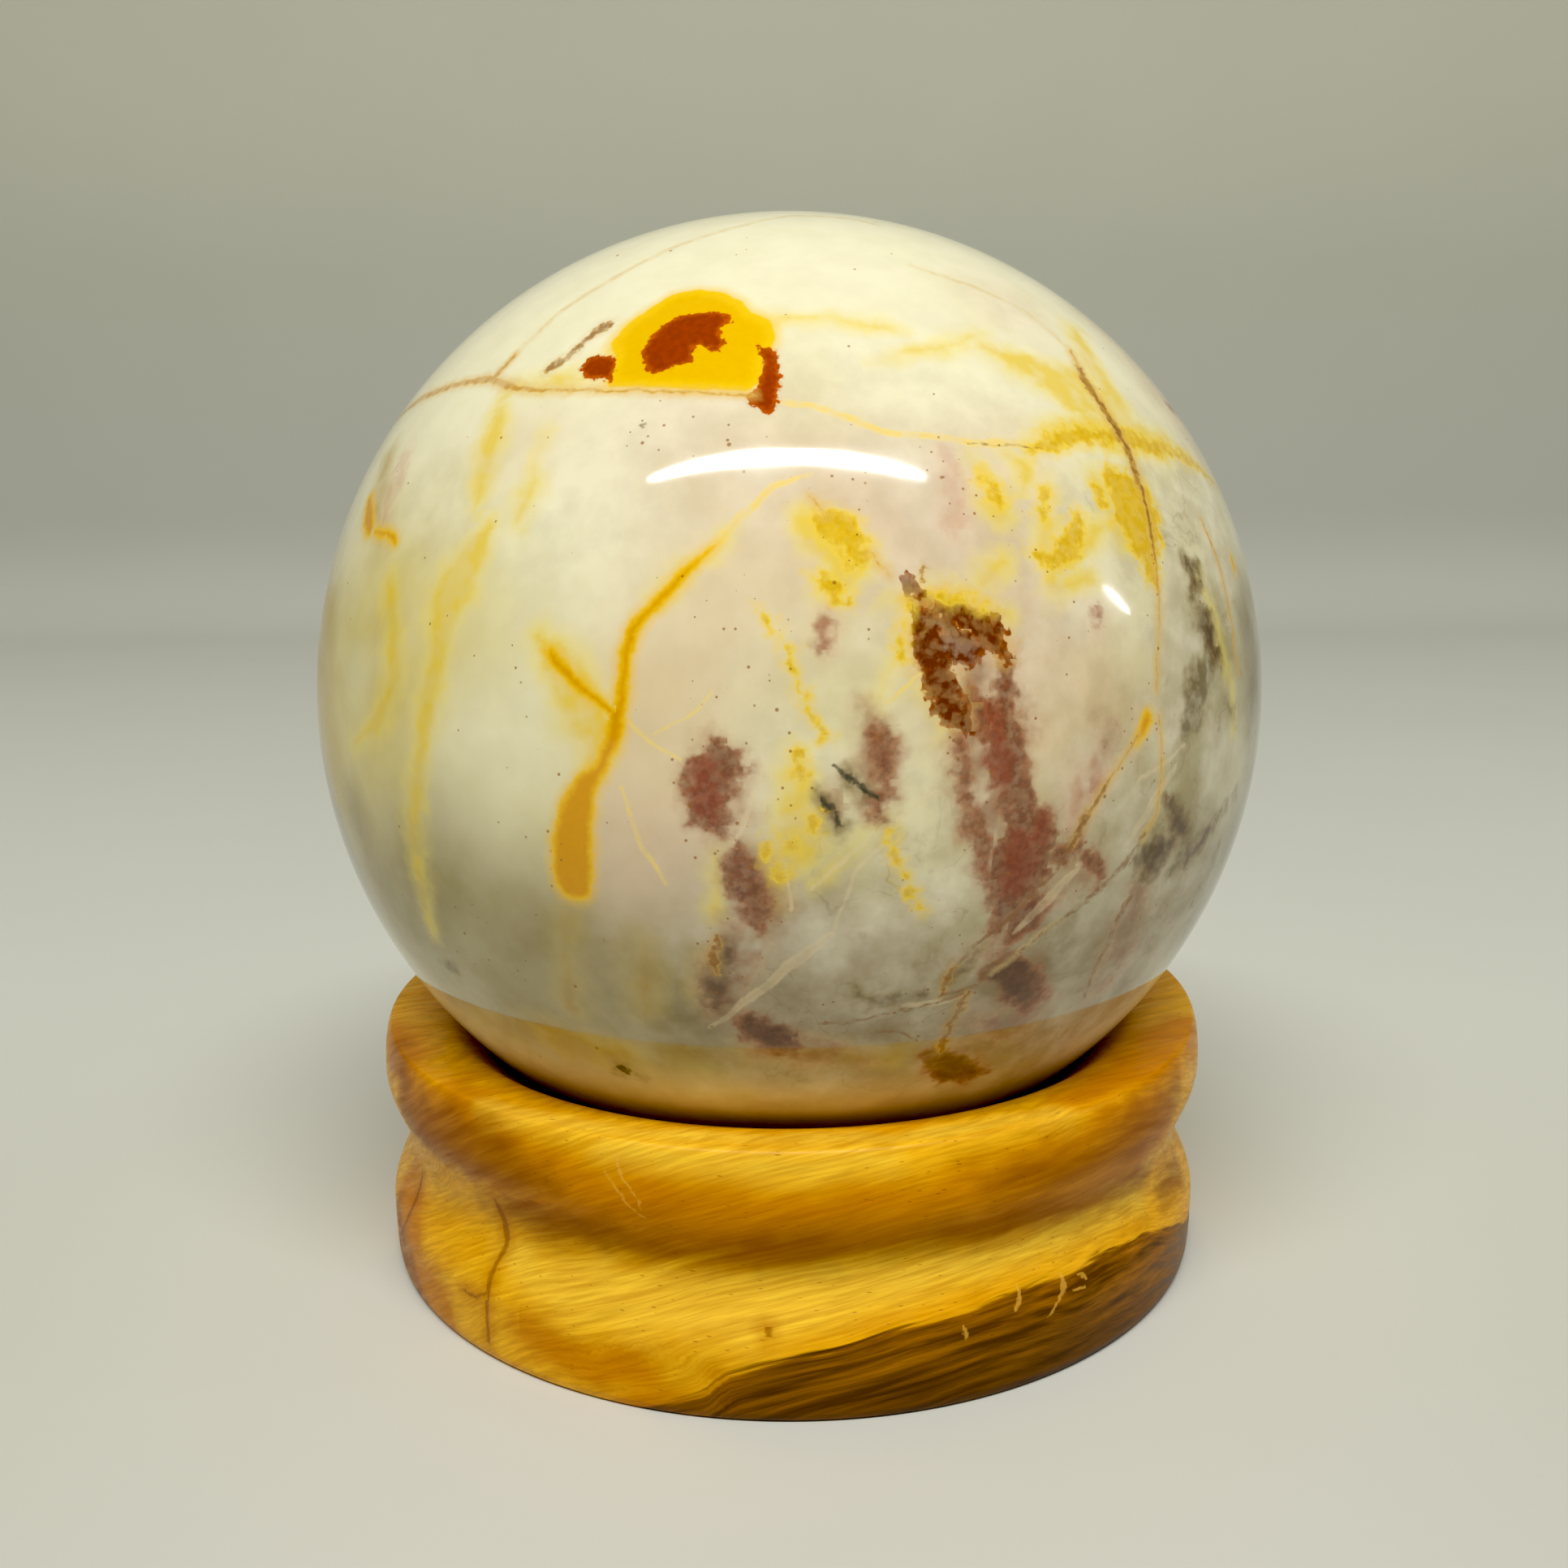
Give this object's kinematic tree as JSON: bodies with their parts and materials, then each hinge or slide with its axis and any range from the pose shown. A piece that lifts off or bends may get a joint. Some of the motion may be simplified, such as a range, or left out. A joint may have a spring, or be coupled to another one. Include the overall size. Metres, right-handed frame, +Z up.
{
  "type": "decorative sphere",
  "caption": "Polished marbled stone sphere resting in a turned wooden ring stand with a waisted outer wall, a domed crown and a conical seat.",
  "frame": {"origin": "centre of the stand's underside, on the turning axis", "axes": "+Z up along the turning axis through the sphere's centre; -Y towards the side that shows the stone's best face; +X to that side's right"},
  "size_m": [0.08, 0.08, 0.088],
  "materials": {
    "stone": "polished to a gloss; cream white with yellow, red-brown, purple-brown and grey-green markings",
    "wood": "clear lacquer over golden brown wood with dark grain"
  },
  "bodies": {
    "root": {"stone_sphere": "stone", "ring_stand": "wood"}
  },
  "joints": []
}
